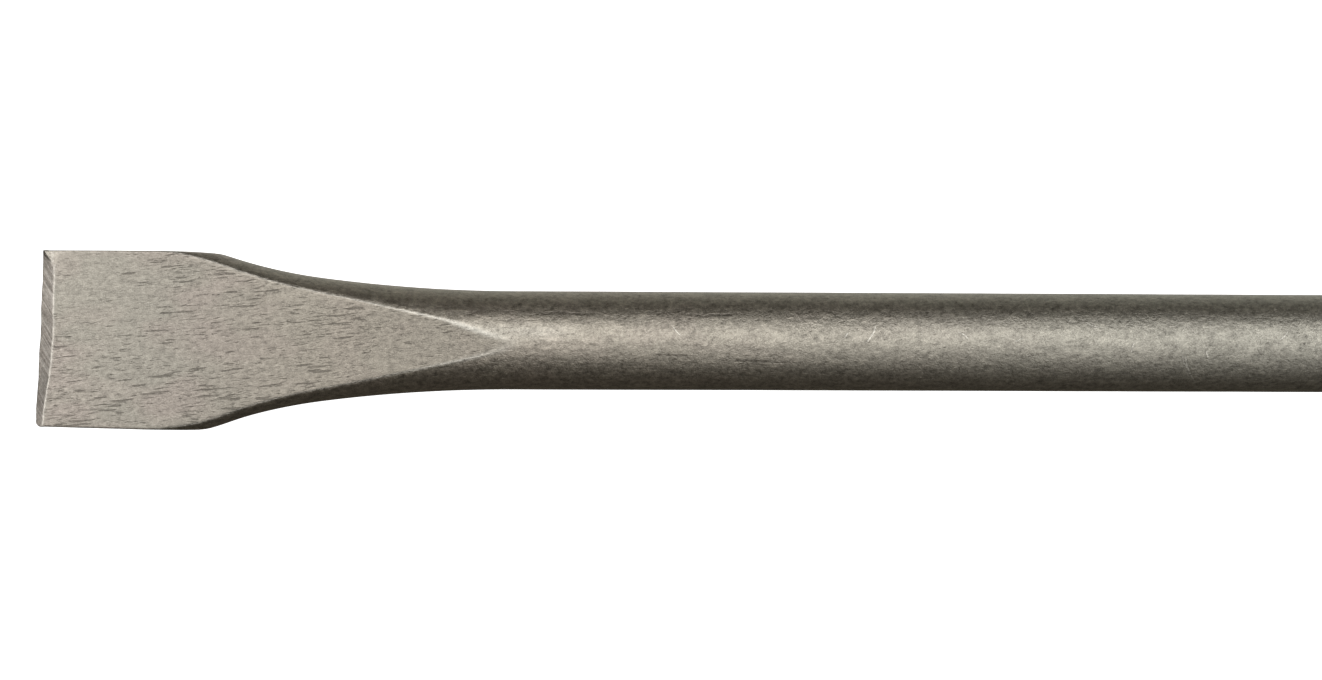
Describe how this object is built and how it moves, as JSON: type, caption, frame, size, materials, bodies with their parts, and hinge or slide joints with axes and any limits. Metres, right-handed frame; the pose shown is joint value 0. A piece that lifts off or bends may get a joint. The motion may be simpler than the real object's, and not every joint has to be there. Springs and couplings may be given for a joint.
{
  "type": "sds chisel",
  "caption": "Flat masonry chisel forged in one piece: round bar body, spread blade with a ground edge, and a slotted shank for a rotary hammer.",
  "frame": {"origin": "centre of the struck end of the shank", "axes": "X along the tool with +X out of the struck end and the cutting edge towards -X, Y along the blade's width, +Z square to the blade's broad faces"},
  "size_m": [0.25, 0.0253, 0.014],
  "materials": {
    "forged_steel": "forged and blasted, dull grey-brown, with a ground cutting edge"
  },
  "bodies": {
    "root": {"chisel": "forged_steel"}
  },
  "joints": []
}
